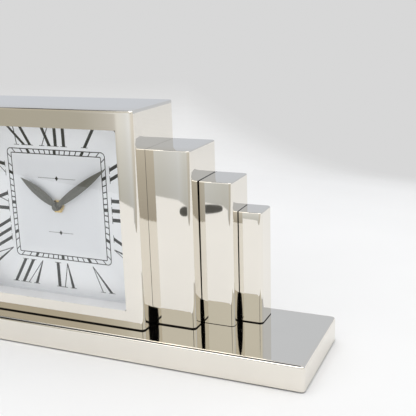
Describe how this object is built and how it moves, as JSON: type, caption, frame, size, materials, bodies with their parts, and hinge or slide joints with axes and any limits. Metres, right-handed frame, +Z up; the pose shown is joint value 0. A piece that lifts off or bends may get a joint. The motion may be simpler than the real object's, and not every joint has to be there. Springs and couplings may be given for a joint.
{
  "type": "mantel clock",
  "caption": "Stepped mantel clock: square glazed case between falling hollow columns on a long flat plinth, with a battery movement, turning hands and a hinged rear door.",
  "frame": {"origin": "middle of the plinth's footprint, at the underside of the felt", "axes": "+X along the plinth, to the right as seen from the front; +Y from the dial to the back; +Z up"},
  "size_m": [0.514, 0.1086, 0.2258],
  "materials": {
    "polished_plate": "mirror-polished nickel plate, rather warm",
    "black_steel": "satin black paint",
    "felt": "short dark green felt",
    "screw_steel": "zinc-plated, satin",
    "gasket_rubber": "matt",
    "window_glass": "clear and flat",
    "black_plastic": "fine matt grain",
    "pale_plastic": "silver-grey, fine satin grain",
    "silvered_dial": "satin silver paint with a printed ring",
    "dark_hand": "dark gunmetal, two facets",
    "brass": "turned, satin",
    "gear_plastic": "natural acetal",
    "board": "green lacquer",
    "copper_wire": "fine enamelled wire",
    "battery_jacket": "printed foil jacket, coppery with a black band"
  },
  "bodies": {
    "clock": {"base_shell": "polished_plate", "floor_plate": "black_steel", "felt_pad": "felt", "floor_plate_screws": "screw_steel", "case_screws": "screw_steel", "column_screws": "screw_steel", "case_shell": "polished_plate", "glazing_gasket": "gasket_rubber", "crystal": "window_glass", "dial_surround": "pale_plastic", "dial_plate": "silvered_dial", "dial_clamps": "screw_steel", "dial_clamp_screws": "screw_steel", "rear_cover": "black_steel", "rear_cover_screws": "screw_steel", "magnet_catch": "black_plastic", "left_inner_column": "polished_plate", "left_middle_column": "polished_plate", "left_outer_column": "polished_plate", "right_inner_column": "polished_plate", "right_middle_column": "polished_plate", "right_outer_column": "polished_plate", "column_blocks": "screw_steel", "seating_pads": "gasket_rubber", "movement_front_housing": "black_plastic", "movement_rear_housing": "black_plastic", "train_bridge": "screw_steel", "stem_nut": "brass", "circuit_board": "board", "quartz_can": "screw_steel", "stator": "screw_steel", "coil_core": "screw_steel", "coil_bobbin": "gear_plastic", "coil_winding": "copper_wire", "battery_contacts": "brass", "door_hinge_pin": "screw_steel"},
    "minute_arbor": {"cannon_pinion": "brass", "minute_hand": "dark_hand", "hand_nut": "dark_hand"},
    "hour_arbor": {"hour_wheel": "gear_plastic", "hour_hand": "dark_hand"},
    "setting_arbor": {"minute_wheel": "gear_plastic", "setting_knob": "gear_plastic"},
    "seconds_arbor": {"seconds_wheel": "gear_plastic"},
    "fifth_arbor": {"fifth_wheel": "gear_plastic"},
    "motor_arbor": {"rotor": "screw_steel"},
    "third_arbor": {"third_wheel": "gear_plastic"},
    "centre_arbor": {"centre_wheel": "gear_plastic"},
    "battery_cell": {"battery": "battery_jacket"},
    "back_door": {"rear_door": "black_steel", "door_knob": "brass"}
  },
  "joints": [
    {"name": "minute_hand_turn", "type": "hinge", "parent": "clock", "child": "minute_arbor", "pos_m": [0, -0.0129, 0.1276], "axis": [0, 1, 0], "continuous": true},
    {"name": "hour_hand_turn", "type": "hinge", "parent": "clock", "child": "hour_arbor", "pos_m": [0, -0.0129, 0.1276], "axis": [0, 1, 0], "continuous": true},
    {"name": "setting_knob_turn", "type": "hinge", "parent": "clock", "child": "setting_arbor", "pos_m": [-0.00842, -0.0129, 0.12454], "axis": [0, 1, 0], "continuous": true},
    {"name": "seconds_wheel_turn", "type": "hinge", "parent": "clock", "child": "seconds_arbor", "pos_m": [0, -0.0129, 0.1276], "axis": [0, 1, 0], "continuous": true},
    {"name": "fifth_wheel_turn", "type": "hinge", "parent": "clock", "child": "fifth_arbor", "pos_m": [-0.00304, -0.0129, 0.13594], "axis": [0, 1, 0], "continuous": true},
    {"name": "rotor_turn", "type": "hinge", "parent": "clock", "child": "motor_arbor", "pos_m": [0.00046, -0.0129, 0.14201], "axis": [0, 1, 0], "continuous": true},
    {"name": "third_wheel_turn", "type": "hinge", "parent": "clock", "child": "third_arbor", "pos_m": [0.00831, -0.0129, 0.13062], "axis": [0, 1, 0], "continuous": true},
    {"name": "centre_wheel_turn", "type": "hinge", "parent": "clock", "child": "centre_arbor", "pos_m": [0, -0.0129, 0.1276], "axis": [0, 1, 0], "continuous": true},
    {"name": "battery_slide", "type": "slide", "parent": "clock", "child": "battery_cell", "axis": [0, 1, 0], "range_m": [0, 0.02]},
    {"name": "rear_door_hinge", "type": "hinge", "parent": "clock", "child": "back_door", "pos_m": [-0.05167, 0.04027, 0.1276], "axis": [0, 0, 1], "range_deg": [0, 110]}
  ],
  "couplings": [
    {"joint": "hour_hand_turn", "follows": "minute_hand_turn", "ratio": 0.083333},
    {"joint": "setting_knob_turn", "follows": "minute_hand_turn", "ratio": -0.33333},
    {"joint": "fifth_wheel_turn", "follows": "rotor_turn", "ratio": -0.16667},
    {"joint": "seconds_wheel_turn", "follows": "rotor_turn", "ratio": 0.033333},
    {"joint": "third_wheel_turn", "follows": "rotor_turn", "ratio": -0.0044444},
    {"joint": "centre_wheel_turn", "follows": "rotor_turn", "ratio": 0.00055556}
  ]
}
